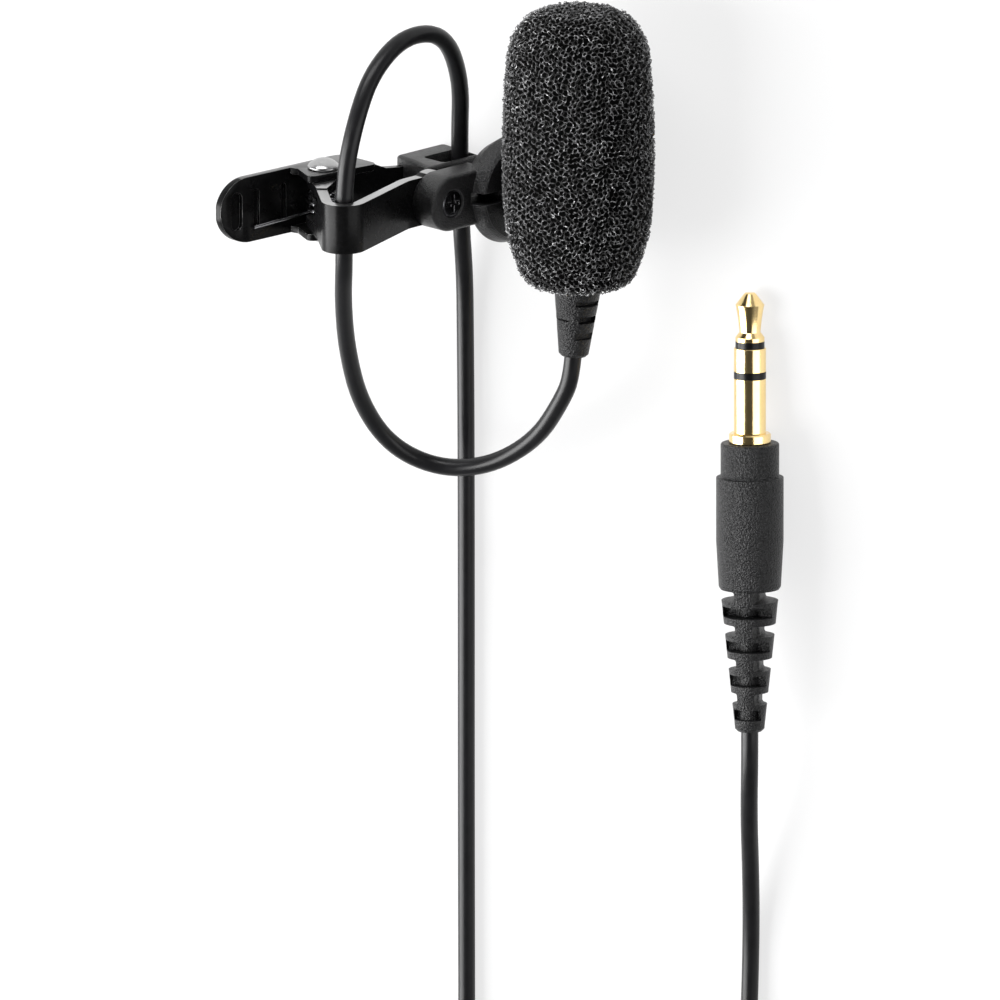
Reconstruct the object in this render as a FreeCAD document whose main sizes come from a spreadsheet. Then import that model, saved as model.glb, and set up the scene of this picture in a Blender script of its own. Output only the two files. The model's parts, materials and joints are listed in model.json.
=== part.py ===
"""Lavalier microphone with a spring clip, a foam windscreen and a plug on a slim cord.

The microphone lies on a table as it is stored: +Z is up, +X is the viewer's right and +Y is the
direction in which the microphone and the plug point. The clip stands on the back corner of its
jaw and on the rim of the microphone holder, and the cord and the plug lie beside it.
All lengths are millimetres and all angles degrees.
"""
import FreeCAD, Part
import math
import os
import Sketcher

V = FreeCAD.Vector
os.makedirs("parts", exist_ok=True)
doc = FreeCAD.newDocument("lavalier")

# Driving dimensions, one sheet for the whole object
SIZES = {
    # where the screw of the holder stands above the table, and how far the clip leans
    "stand_east": 1.073, "stand_north": -2.609, "stand_height": 13.1, "clip_lean": 61.0,
    # holder: a block that turns on the screw and a split ring that grips the swivel stud
    "block_half": 3.05, "block_depth": 3.1, "block_round": 0.45, "ring_reach": 8.8,
    "ring_front": 1.4, "ring_back": 2.2, "ring_rim": 5.9, "ring_face": 5.5, "ring_bore": 2.55,
    "slit_half": 0.65, "slit_start": 2.7, "screw_hole": 0.85, "sink_depth": 0.75,
    # screw
    "screw_head": 1.42, "screw_shank": 0.79, "head_drop": 0.12, "cross_half": 0.21,
    "cross_reach": 0.95, "cross_depth": 0.6,
    # front arm: a bent strip with a round end plate, a hairpin for the cord and two ears
    "arm_half": 2.65, "arm_sheet": 1.1, "arm_rise": 17.9, "hairpin": 1.85, "hairpin_west": 14.2,
    "hairpin_back": 2.2, "return_slope": 52.0, "return_long": 7.58, "ear_in": 1.75,
    "ear_sheet": 1.05, "ear_round": 1.9, "ear_hole": 0.55, "pin_west": 8.84, "pin_back": 10.8,
    # rear half: a finger tray, two ears and a jaw tongue
    "tray_half": 3.6, "tray_sheet": 0.8, "rear_ear_in": 2.9, "tongue_half": 2.0,
    "groove_half": 2.1, "groove_width": 0.8, "end_groove": 1.4, "groove_depth": 0.3,
    # jaw block with the cord slot
    "jaw_half": 3.05, "slot_west": 3.4, "slot_east": 8.35, "slot_back": 8.1, "slot_front": 4.8,
    # rivet
    "rivet_shank": 0.5, "rivet_head": 1.72, "rivet_rim": 0.3, "rivet_seat": 3.62,
    "head_high": 1.15, "head_low": 0.95,
    # torsion spring
    "wire": 0.38, "spring_radius": 1.7, "spring_pitch": 0.78,
    # microphone
    "mic_reach": 10.16, "housing_radius": 2.5, "housing_bore": 2.2, "housing_low": 8.4,
    "housing_high": 6.6, "grille_top": 8.1, "collar_radius": 2.95, "collar_half": 2.4,
    "stud_radius": 2.5, "stud_neck": 1.5, "stud_flange": 3.0, "stud_lip": 2.8,
    "capsule_radius": 1.98, "capsule_low": 2.6, "capsule_high": 5.3,
    # strain relief of the microphone
    "boot_long": 8.1, "boot_top": 2.48, "boot_end": 1.62, "boot_lean": 4.8, "boot_gap": 0.25,
    "boot_socket": 2.0, "boot_core": 1.15,
    # windscreen
    "foam_bore": 3.05, "foam_depth": 8.35, "foam_low": 8.8, "foam_high": 21.8, "foam_slot": 1.7,
    # plug, measured from the shoulder of its shaft
    "contact_radius": 1.75, "groove_radius": 1.58, "shaft_long": 15.3, "tip_low": 10.02,
    "ring_high": 9.28, "ring_low": 6.68, "sleeve_high": 5.98, "rod_radius": 0.5,
    "rod_sleeve": 0.8, "ring_tube": 1.1, "sleeve_bore": 1.35, "shoulder_radius": 2.28,
    "shoulder_thick": 1.06, "neck_radius": 3.17, "neck_long": 4.8, "grip_radius": 3.65,
    "grip_end": 16.95, "shell_bore": 2.4, "seat_radius": 2.0, "seat_end": 9.2,
    "tip_bulge": 1.57, "bulge_at": 13.98, "plug_east": 31.48, "plug_south": 28.47, "plug_yaw": 1.98,
    # strain relief of the plug
    "relief_top": 3.22, "relief_end": 1.6, "relief_long": 32.7, "relief_web": 0.97,
    "relief_core": 1.1, "relief_pitch": 3.78, "relief_socket": 1.0, "relief_middle": 0.45,
    # cord and its put-away length
    "cord": 1.9, "hank_east": 15.07, "hank_south": 115.96, "hank_radius": 16.0, "turn_pitch": 2.42,
    "layer_pitch": 2.36, "hank_lift": 0.55, "reversal_step": 0.7,
    "tie_width": 5.0, "tie_sheet": 0.42,
}
sheet = doc.addObject("Spreadsheet::Sheet", "sizes")
for row, (alias, value) in enumerate(SIZES.items(), start=1):
    sheet.set(f"A{row}", alias)
    sheet.set(f"B{row}", str(value))
    sheet.setAlias(f"B{row}", alias)
doc.recompute()


class Size:
    """A number together with the sheet expression that gives it."""

    def __init__(self, value, text):
        self.value = value
        self.text = text

    def joined(self, other, sign, value, reverse=False):
        other_text = other.text if isinstance(other, Size) else repr(float(other))
        first, second = (other_text, self.text) if reverse else (self.text, other_text)
        return Size(value, f"({first} {sign} {second})")

    def __add__(self, other):
        return self.joined(other, "+", self.value + number(other))

    def __radd__(self, other):
        return self.joined(other, "+", number(other) + self.value, True)

    def __sub__(self, other):
        return self.joined(other, "-", self.value - number(other))

    def __rsub__(self, other):
        return self.joined(other, "-", number(other) - self.value, True)

    def __mul__(self, other):
        return self.joined(other, "*", self.value * number(other))

    def __rmul__(self, other):
        return self.joined(other, "*", number(other) * self.value, True)

    def __truediv__(self, other):
        return self.joined(other, "/", self.value / number(other))

    def __neg__(self):
        return Size(-self.value, f"(0 - {self.text})")


def number(size):
    return size.value if isinstance(size, Size) else float(size)


def cell(alias):
    return Size(float(sheet.get(alias)), f"sizes.{alias}")


def bind(feature, name, size):
    """Give a property its value from the sheet."""
    if isinstance(size, Size):
        feature.setExpression(name, size.text)
    else:
        setattr(feature, name, size)


# Frames: the clip's own frame has its origin at the holder's screw, X along the jaws,
# Y along the rivet and Z towards the microphone.
ALONG_Y = FreeCAD.Rotation(V(1, 0, 0), -90)
clip_frame = FreeCAD.Placement(
    V(number(cell("stand_east")), number(cell("stand_north")), number(cell("stand_height"))),
    FreeCAD.Rotation(V(0, 1, 0), number(cell("clip_lean"))),
)
pin_spot = V(-number(cell("pin_west")), 0, -number(cell("pin_back")))
ring_spot = V(number(cell("ring_reach")), 0, 0)
mic_spot = ring_spot + V(0, 0, number(cell("mic_reach")))
rivet_frame = clip_frame * FreeCAD.Placement(pin_spot, ALONG_Y)
ring_frame = clip_frame * FreeCAD.Placement(ring_spot, FreeCAD.Rotation())
mic_frame = clip_frame * FreeCAD.Placement(mic_spot, ALONG_Y)

parts = []


def keep(feature, label):
    feature.Label = label
    parts.append(feature)
    return feature


def new_body(label, frame):
    body = doc.addObject("PartDesign::Body", label)
    body.Placement = frame
    return keep(body, label)


def new_sketch(body, role, lift=0.0):
    """A sketch on one of the body's own origin planes, lifted along the plane's normal."""
    sketch = body.newObject("Sketcher::SketchObject", "sketch")
    plane = [p for p in body.Origin.OriginFeatures if p.Role == role][0]
    sketch.AttachmentSupport = [(plane, "")]
    sketch.MapMode = "FlatFace"
    if isinstance(lift, Size):
        sketch.setExpression("AttachmentOffset.Base.z", lift.text)
    else:
        sketch.AttachmentOffset = FreeCAD.Placement(V(0, 0, lift), FreeCAD.Rotation())
    return sketch


def fix_point(sketch, geometry, end, point):
    """Hold one end of a line or arc at its bound coordinates."""
    for kind, size in zip(("DistanceX", "DistanceY"), point):
        limit = Sketcher.Constraint(kind, -1, 1, geometry, end, number(size))
        index = sketch.addConstraint(limit)
        if isinstance(size, Size):
            sketch.setExpression(f"Constraints[{index}]", size.text)


def end_at(sketch, geometry, spot):
    """Which end of a line or arc lies at the spot."""
    return 1 if sketch.getPoint(geometry, 1).isEqual(spot, 1e-6) else 2


def outline(sketch, corners, arcs=None):
    """A closed outline through the corners.

    arcs gives, for the stretch that leaves a corner, the radius of an arc: positive bulges to
    the right of the way from that corner to the next one, negative to the left.
    """
    arcs = arcs or {}
    spots = [V(number(x), number(y), 0) for x, y in corners]
    base, count, crowns = sketch.GeometryCount, len(corners), []
    for i, start in enumerate(spots):
        stop = spots[(i + 1) % count]
        if i not in arcs:
            sketch.addGeometry(Part.LineSegment(start, stop), False)
            fix_point(sketch, base + i, 1, corners[i])
            continue
        radius = number(arcs[i])
        chord = stop - start
        right = V(chord.y, -chord.x, 0).normalize()
        rise = abs(radius) - math.sqrt(max(0, radius ** 2 - (chord.Length / 2) ** 2))
        middle = (start + stop) * 0.5 + right * math.copysign(rise, radius)
        sketch.addGeometry(Part.Arc(start, middle, stop), False)
        fix_point(sketch, base + i, end_at(sketch, base + i, start), corners[i])
        if chord.Length / 2 < abs(radius) - 1e-6:
            index = sketch.addConstraint(Sketcher.Constraint("Radius", base + i, abs(radius)))
            if isinstance(arcs[i], Size) and radius > 0:
                sketch.setExpression(f"Constraints[{index}]", arcs[i].text)
        else:
            crowns.append((base + i, middle))
    for i in range(count):
        following = (i + 1) % count
        ends = [end_at(sketch, base + j, spots[following]) for j in (i, following)]
        sketch.addConstraint(
            Sketcher.Constraint("Coincident", base + i, ends[0], base + following, ends[1])
        )
    for arc, middle in crowns:
        crown = sketch.addGeometry(Part.Point(middle), True)
        fix_point(sketch, crown, 1, (middle.x, middle.y))
        sketch.addConstraint(Sketcher.Constraint("PointOnObject", crown, 1, arc))
    return sketch


def circle(sketch, radius, centre=(0, 0)):
    spot = V(number(centre[0]), number(centre[1]), 0)
    index = sketch.addGeometry(Part.Circle(spot, V(0, 0, 1), number(radius)), False)
    fix_point(sketch, index, 3, centre)
    limit = sketch.addConstraint(Sketcher.Constraint("Radius", index, number(radius)))
    if isinstance(radius, Size):
        sketch.setExpression(f"Constraints[{limit}]", radius.text)
    return sketch


def box_outline(sketch, west, east, south, north):
    return outline(sketch, [(west, south), (east, south), (east, north), (west, north)])


def settle(body, feature):
    """Recompute, and stop if the new feature did not build."""
    doc.recompute()
    if "Invalid" in feature.State or feature.Shape.isNull() or not feature.Shape.isValid():
        raise RuntimeError(f"{feature.Name} of {body.Label} did not build")
    return feature


def pad(body, sketch, length, middle=False):
    feature = body.newObject("PartDesign::Pad", "pad")
    feature.Profile = sketch
    bind(feature, "Length", length)
    feature.Midplane = middle
    return settle(body, feature)


def pocket(body, sketch, length, middle=False):
    """A pocket that has to take material away."""
    before = body.Shape.Volume
    feature = body.newObject("PartDesign::Pocket", "pocket")
    feature.Profile = sketch
    bind(feature, "Length", length)
    feature.Midplane = middle
    settle(body, feature)
    if body.Shape.Volume > before - 1e-6:
        raise RuntimeError(f"a pocket of {body.Label} cuts nothing")
    return feature


def turned(body, corners, arcs=None):
    """A solid of revolution about the body's Z axis; corners are (radius, height)."""
    sketch = outline(new_sketch(body, "XZ_Plane"), corners, arcs)
    feature = body.newObject("PartDesign::Revolution", "turned")
    feature.Profile = sketch
    feature.ReferenceAxis = (sketch, ["V_Axis"])
    feature.Angle = 360
    return settle(body, feature)


def edges_where(feature, test):
    """Names of the edges whose middle point passes the test, in the body's own frame."""
    names = []
    for i, edge in enumerate(feature.Shape.Edges, start=1):
        middle = edge.valueAt((edge.FirstParameter + edge.LastParameter) / 2)
        if test(middle, edge):
            names.append(f"Edge{i}")
    return names


def soften(body, kind, size, test):
    """A fillet or chamfer along the edges that pass the test."""
    base = body.Tip
    feature = body.newObject(f"PartDesign::{kind}", kind.lower())
    feature.Base = (base, edges_where(base, test))
    bind(feature, "Radius" if kind == "Fillet" else "Size", size)
    return settle(body, feature)


def near(value, target, reach=0.02):
    return abs(value - target) < reach


def at(*aliases):
    """Plain numbers of one or more sizes."""
    values = tuple(number(cell(alias)) for alias in aliases)
    return values if len(values) > 1 else values[0]


def bend_strip(path, thickness, radii):
    """Outline of a bent strip: its corners, and the radii of the arcs at its bends."""
    half = thickness / 2
    spots = [V(x, y, 0) for x, y in path]
    runs = [(b - a).normalize() for a, b in zip(spots, spots[1:])]
    sides = {1: [], -1: []}
    for side, corners in sides.items():
        normal = V(runs[0].y, -runs[0].x, 0) * (side * half)
        corners.append((spots[0] + normal, None))
        for i, radius in enumerate(radii):
            before, after = runs[i], runs[i + 1]
            turn = math.atan2(before.cross(after).z, before.dot(after))
            reach = radius * math.tan(abs(turn) / 2)
            out = V(before.y, -before.x, 0) * (side * half)
            corners.append((spots[i + 1] - before * reach + out, math.copysign(1, turn) * side))
            out = V(after.y, -after.x, 0) * (side * half)
            corners.append((spots[i + 1] + after * reach + out, radius))
        normal = V(runs[-1].y, -runs[-1].x, 0) * (side * half)
        corners.append((spots[-1] + normal, None))
    right = [spot for spot, note in sides[1]]
    left = [spot for spot, note in sides[-1]]
    arcs = {}
    count = len(right)
    for i in range(len(radii)):
        outside = sides[1][2 * i + 1][1]
        arcs[2 * i + 1] = outside * (radii[i] + outside * half)
        arcs[2 * count - 3 - 2 * i] = -outside * (radii[i] - outside * half)
    corners = right + left[::-1]
    return [(spot.x, spot.y) for spot in corners], arcs


def corner_arc(start, corner, stop):
    """Arc that leaves start towards the corner and arrives at stop away from it."""
    middle = (start + stop) * 0.5
    reach = (corner - start).Length
    half_chord = (stop - start).Length / 2
    rise = (corner - middle).Length
    turn_sine = half_chord / reach
    turn_cosine = rise / reach
    crown = corner + (middle - corner).normalize() * (reach * (1 - turn_sine) / turn_cosine)
    return Part.Arc(start, crown, stop).toShape()


def cord_path(points):
    """Straight runs joined by the largest tangent arcs that the runs allow."""
    edges = []
    radii = []
    here = points[0]
    for before, corner, after in zip(points, points[1:], points[2:]):
        first, second = corner - before, after - corner
        reach = 0.45 * min(first.Length, second.Length)
        turn = first.getAngle(second)
        radii.append(reach / math.tan(turn / 2))
        start = corner - first.normalize() * reach
        stop = corner + second.normalize() * reach
        edges.append(Part.LineSegment(here, start).toShape())
        edges.append(corner_arc(start, corner, stop))
        here = stop
    edges.append(Part.LineSegment(here, points[-1]).toShape())
    return edges, radii


def tube(label, edges, diameter, radii=None):
    """A round tube along a path, kept as one piece of the object."""
    path = Part.Wire(edges)
    start = edges[0].Vertexes[0].Point
    heading = edges[0].Vertexes[-1].Point - start
    ring = Part.Wire([Part.Circle(start, heading, diameter / 2).toShape()])
    shape = path.makePipeShell([ring], True, False)
    feature = keep(doc.addObject("Part::Feature", label), label)
    feature.Shape = shape
    expected = math.pi * (diameter / 2) ** 2 * path.Length
    note = f"tube {label}: length {path.Length:.1f}, volume over section x length"
    print(note, round(shape.Volume / expected, 4))
    if radii:
        print(f"  arc radii {min(radii):.1f} and up:", [round(radius, 1) for radius in radii])
    return feature


def least_gap(edges, diameter, step=0.25):
    """Least clear space between stretches of a wound tube that aren't neighbours."""
    spots = []
    for edge in edges:
        count = max(2, round(edge.Length / step))
        spots += edge.discretize(count + 1)[:-1]
    skip = round(1.6 * diameter * 2 / step)
    cells = {}
    least = 99.0
    for i, spot in enumerate(spots):
        key = tuple(int(math.floor(value / (2 * diameter))) for value in spot)
        for dx in (-1, 0, 1):
            for dy in (-1, 0, 1):
                for dz in (-1, 0, 1):
                    for j in cells.get((key[0] + dx, key[1] + dy, key[2] + dz), ()):
                        if i - j > skip:
                            least = min(least, (spot - spots[j]).Length)
        cells.setdefault(key, []).append(i)
    return least - diameter


def make_mic_holder():
    """Block on the screw, with the split ring that takes the microphone's stud."""
    reach, half = cell("ring_reach"), cell("block_half")
    front, back = cell("ring_front"), cell("ring_back")
    rim, face, bore = cell("ring_rim"), cell("ring_face"), cell("ring_bore")
    edge = 0.35
    body = new_body("mic_holder", ring_frame)
    inside_ring = -3.5
    block = outline(
        new_sketch(body, "XY_Plane", -cell("block_depth")),
        [(-reach, -half), (inside_ring, -half), (inside_ring, half), (-reach, half)],
        {3: half},
    )
    pad(body, block, cell("block_depth"))
    soften(body, "Fillet", cell("block_round"), lambda spot, line: near(spot.z, 0) and spot.x < -4)
    turned(body, [
        (bore, -back), (rim - 1.0, -back), (rim, -0.5), (rim, -0.3), (face, front - edge),
        (face - edge, front), (bore + edge / 2, front), (bore, front - edge / 2),
    ])
    slit_end = -2.0
    slit = new_sketch(body, "XY_Plane", front + 1)
    box_outline(slit, cell("slit_start") - reach, slit_end, -cell("slit_half"), cell("slit_half"))
    pocket(body, slit, front + cell("block_depth") + 2)
    hole = circle(new_sketch(body, "XY_Plane", 1.0), cell("screw_hole"), (-reach, 0))
    pocket(body, hole, cell("block_depth") + 2)
    centre = V(-number(reach), 0, 0)
    span = at("screw_hole") + 0.02
    soften(
        body, "Chamfer", cell("sink_depth"),
        lambda spot, line: near(spot.z, 0) and (spot - centre).Length < span,
    )


def make_holder_screw():
    """Countersunk cross-head screw on which the holder turns."""
    head, shank, drop = cell("screw_head"), cell("screw_shank"), cell("head_drop")
    plate_back = cell("block_depth") + cell("arm_sheet")
    body = new_body("holder_screw", clip_frame)
    turned(body, [
        (0, -plate_back), (shank - 0.2, -plate_back), (shank, -plate_back + 0.2),
        (shank, -drop - head + shank), (head, -drop), (head - 0.2, -drop / 3), (0, -drop / 3),
    ])
    long, short = cell("cross_reach"), cell("cross_half")
    for west, south in ((long, short), (short, long)):
        cross = box_outline(new_sketch(body, "XY_Plane", 0.1), -west, west, -south, south)
        pocket(body, cross, cell("cross_depth"))


def arm_path():
    """Middle line of the front arm's strip, and its end."""
    rise, slope = math.radians(at("arm_rise")), math.radians(at("return_slope"))
    radius = at("hairpin")
    outward = V(-math.cos(rise), math.sin(rise), 0)
    inward = V(math.cos(slope), -math.sin(slope), 0)
    centre = V(-at("hairpin_west"), -at("hairpin_back"), 0)
    enter = centre + V(outward.y, -outward.x, 0) * radius
    leave = centre + V(inward.y, -inward.x, 0) * radius
    reach = radius * math.tan(outward.getAngle(inward) / 2)
    plate = -at("block_depth") - at("arm_sheet") / 2
    knee = enter - outward * ((enter.y - plate) / outward.y)
    end = leave + inward * at("return_long")
    path = [V(1, plate, 0), knee, enter + outward * reach, end]
    return [(spot.x, spot.y) for spot in path], end, inward


def make_front_arm():
    """Bent strip: end plate on the screw, hairpin round the cord, and ears on the rivet."""
    sheet_size, half = cell("arm_sheet"), cell("arm_half")
    knee_radius = 3.5
    body = new_body("front_arm", clip_frame)
    path, end, inward = arm_path()
    strip, arcs = bend_strip(path, number(sheet_size), [knee_radius, at("hairpin")])
    pad(body, outline(new_sketch(body, "XZ_Plane"), strip, arcs), 2 * half, middle=True)
    radius = at("block_half")
    plate_edge = -math.sqrt(radius ** 2 - number(half) ** 2)
    plate = outline(
        new_sketch(body, "XY_Plane", -cell("block_depth") - sheet_size),
        [(plate_edge, -half), (cell("block_half"), 0), (plate_edge, half)],
        {0: cell("block_half"), 1: cell("block_half")},
    )
    pad(body, plate, sheet_size)
    pin = V(pin_spot.x, pin_spot.z, 0)
    root = end - inward * 2.8
    toward = (pin - root).normalize()
    across = V(toward.y, -toward.x, 0)
    knuckle = at("ear_round")
    corners = [
        root - across * (number(sheet_size) / 2), root + across * (number(sheet_size) / 2),
        pin + across * knuckle, pin - across * knuckle,
    ]
    corners = [(spot.x, spot.y) for spot in corners]
    for lift in (cell("ear_in"), -cell("ear_in") - cell("ear_sheet")):
        ear = outline(new_sketch(body, "XZ_Plane", lift), corners, {2: knuckle})
        pad(body, ear, cell("ear_sheet"))
    hole = circle(new_sketch(body, "XZ_Plane"), cell("ear_hole"), (pin.x, pin.y))
    pocket(body, hole, 4 * half, middle=True)
    hole = circle(new_sketch(body, "XY_Plane", -cell("block_depth") + 1), cell("screw_shank"))
    pocket(body, hole, sheet_size + 2)


# Middle line of the rear half's sheet, from the finger end to the jaw, as (along, up)
REAR_LINE = [(-20.62, -14.91), (-17.0, -14.2), (-4.3, -13.58), (1.83, -9.9), (7.2, -9.9)]
REAR_BENDS = [4.0, 2.0, 3.0]


def make_rear_clip_half():
    """Pressed steel channel: finger tray, two ears on the rivet and a tongue for the jaw."""
    half, sheet_size = cell("tray_half"), cell("tray_sheet")
    body = new_body("rear_clip_half", clip_frame)
    strip, arcs = bend_strip(REAR_LINE, number(sheet_size), REAR_BENDS)
    pad(body, outline(new_sketch(body, "XZ_Plane"), strip, arcs), 2 * half, middle=True)
    west = REAR_LINE[0][0]
    centre, wide = west + half, half + 1
    above_tray, through = -12.0, 5.0
    finger_end = outline(
        new_sketch(body, "XY_Plane", above_tray),
        [(centre, -half), (west, 0), (centre, half), (centre, wide), (west - 1, wide),
         (west - 1, -wide), (centre, -wide)],
        {0: -half, 1: -half},
    )
    pocket(body, finger_end, through)
    tongue = cell("tongue_half")
    neck_start, neck_end, jaw_end, above_neck = -3.2, 0.2, 8.0, -8.0
    for side in (1, -1):
        corners = [
            (neck_start, side * wide), (neck_start, side * half), (neck_end, side * tongue),
            (jaw_end, side * tongue), (jaw_end, side * wide),
        ]
        pocket(body, outline(new_sketch(body, "XY_Plane", above_neck), corners), 7.0)
    ear = [
        (-11.2, -13.92), (-4.6, -13.6), (-3.3, -12.9), (-3.3, -8.9), (-4.1, -8.15), (-5.9, -8.4),
        (-11.4, -9.0), (-12.2, -9.9), (-10.9, -12.6),
    ]
    thick = half - cell("rear_ear_in")
    for lift in (-half, cell("rear_ear_in")):
        sketch = new_sketch(body, "XZ_Plane", lift)
        pad(body, outline(sketch, ear, {3: 0.8, 6: 0.9}), thick)
    hole = circle(new_sketch(body, "XZ_Plane"), cell("rivet_shank"), (pin_spot.x, pin_spot.z))
    pocket(body, hole, 4 * half, middle=True)
    tall, depth = cell("groove_half"), cell("groove_depth")
    grooves = (
        (-18.6, -14.1, cell("end_groove")), (-16.0, -13.74, cell("groove_width")),
        (-12.2, -13.56, cell("groove_width")),
    )
    for place, face, width in grooves:
        end_round = width / 2
        flat = tall - end_round
        groove_west, groove_east = place - end_round, place + end_round
        groove = outline(
            new_sketch(body, "XY_Plane", face + 0.5),
            [(groove_west, -flat), (place, -tall), (groove_east, -flat), (groove_east, flat),
             (place, tall), (groove_west, flat)],
            {0: end_round, 1: end_round, 3: end_round, 4: end_round},
        )
        pocket(body, groove, depth + 0.5)


def make_rear_jaw_block():
    """Plastic jaw on the tongue, with the slot that the cord runs through."""
    half = cell("jaw_half")
    body = new_body("rear_jaw_block", clip_frame)
    corners = [
        (2.5, -10.83), (8.62, -10.83), (9.22, -10.23), (8.62, -4.95), (8.1, -4.4), (1.4, -4.4),
        (0.9, -4.95), (1.95, -10.3),
    ]
    rounds = {1: 0.62, 3: 0.56, 5: 0.56, 6: -14.0, 7: 0.56}
    pad(body, outline(new_sketch(body, "XZ_Plane"), corners, rounds), 2 * half, middle=True)
    soften(
        body, "Fillet", 0.4,
        lambda spot, line: near(abs(spot.y), number(half)),
    )
    west, east = cell("slot_west"), cell("slot_east")
    back, front = -cell("slot_back"), -cell("slot_front")
    slot = new_sketch(body, "XZ_Plane")
    turn = 0.5
    outline(
        slot,
        [(west + turn, back), (east - turn, back), (east, back + turn), (east, front - turn),
         (east - turn, front), (west + turn, front), (west, front - turn), (west, back + turn)],
        {1: turn, 3: turn, 5: turn, 7: turn},
    )
    pocket(body, slot, 4 * half, middle=True)
    strip, arcs = bend_strip(REAR_LINE, at("tray_sheet"), REAR_BENDS)
    socket = outline(new_sketch(body, "XZ_Plane"), strip, arcs)
    pocket(body, socket, 2 * cell("tongue_half"), middle=True)


def dome(radius, height):
    """Radius of the arc over a domed head."""
    return (radius ** 2 + height ** 2) / (2 * height)


def make_clip_rivet():
    shank, head, seat = cell("rivet_shank"), cell("rivet_head"), cell("rivet_seat")
    rim, high, low = cell("rivet_rim"), cell("head_high"), cell("head_low")
    body = new_body("clip_rivet", rivet_frame)
    turned(
        body,
        [(0, -seat - low), (head, -seat - rim), (head, -seat), (shank, -seat), (shank, seat),
         (head, seat), (head, seat + rim), (0, seat + high)],
        {0: dome(number(head), number(low - rim)), 6: dome(number(head), number(high - rim))},
    )


def make_clip_spring():
    """Torsion spring between the knuckles: one leg on the tray, the other under the arm."""
    wire, radius, pitch = at("wire", "spring_radius", "spring_pitch")
    path, end, inward = arm_path()
    pin = V(pin_spot.x, pin_spot.z, 0)
    tray_touch = V(-16.6, -13.78 + wire * 0.75, 0)
    below = V(-inward.y, inward.x, 0) * -1
    arm_touch = end + below * (at("arm_sheet") / 2 + wire * 0.75) - inward * 0.1
    arm_tip = arm_touch - inward * 3.6

    def tangent_angle(spot, side):
        away = spot - pin
        return math.atan2(away.y, away.x) + side * math.acos(radius / away.Length)

    enter = tangent_angle(tray_touch, 1)
    leave = tangent_angle(arm_touch, -1)
    turns = 3 + ((leave - enter) / (2 * math.pi)) % 1
    climb = pitch / (2 * math.pi * radius)
    first = -turns * pitch / 2 - 0.05

    def on_coil(angle):
        turn = (angle - enter) / (2 * math.pi)
        return V(
            pin.x + radius * math.cos(angle), first + pitch * turn, pin.y + radius * math.sin(angle)
        )

    leg = (tray_touch - pin).Length
    steps = round(turns * 4)
    angles = [enter + turns * 2 * math.pi * i / steps for i in range(steps + 1)]
    coil_start, coil_end = on_coil(angles[0]), on_coil(angles[-1])
    flat_leg = math.sqrt(leg ** 2 - radius ** 2)
    leg_start = V(tray_touch.x, coil_start.y - climb * flat_leg, tray_touch.y)
    edges = [Part.LineSegment(leg_start, coil_start).toShape()]

    def slope(angle):
        return V(-math.sin(angle), climb, math.cos(angle)).normalize()

    for a, b in zip(angles, angles[1:]):
        edges += biarc(on_coil(a), slope(a), on_coil(b), slope(b))
    reach = (V(arm_touch.x, 0, arm_touch.y) - V(coil_end.x, 0, coil_end.z)).Length
    corner = V(arm_touch.x, coil_end.y + climb * reach, arm_touch.y)
    tip = V(arm_tip.x, corner.y, arm_tip.y)
    knee = 0.45
    start = corner - slope(angles[-1]) * knee
    stop = corner + (tip - corner).normalize() * knee
    edges.append(Part.LineSegment(coil_end, start).toShape())
    edges.append(corner_arc(start, corner, stop))
    edges.append(Part.LineSegment(stop, tip).toShape())
    print("spring least gap", round(least_gap(edges, wire, 0.1), 2))
    moved = [edge.transformGeometry(clip_frame.Matrix) for edge in edges]
    tube("clip_spring", moved, wire)


def biarc(start, leaving, stop, arriving):
    """Two arcs that join start to stop with the given directions."""
    across = stop - start
    both = leaving + arriving
    share = 2 * (1 - leaving.dot(arriving))
    along = across.dot(both)
    if share < 1e-9:
        reach = across.dot(across) / (2 * along)
    else:
        reach = (-along + math.sqrt(along ** 2 + share * across.dot(across))) / share
    middle = (start + stop + (leaving - arriving) * reach) * 0.5
    edges = []
    for a, corner, b in (
        (start, start + leaving * reach, middle),
        (middle, stop - arriving * reach, stop),
    ):
        if (corner - (a + b) * 0.5).Length < 1e-6:
            edges.append(Part.LineSegment(a, b).toShape())
        else:
            edges.append(corner_arc(a, corner, b))
    return edges


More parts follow.
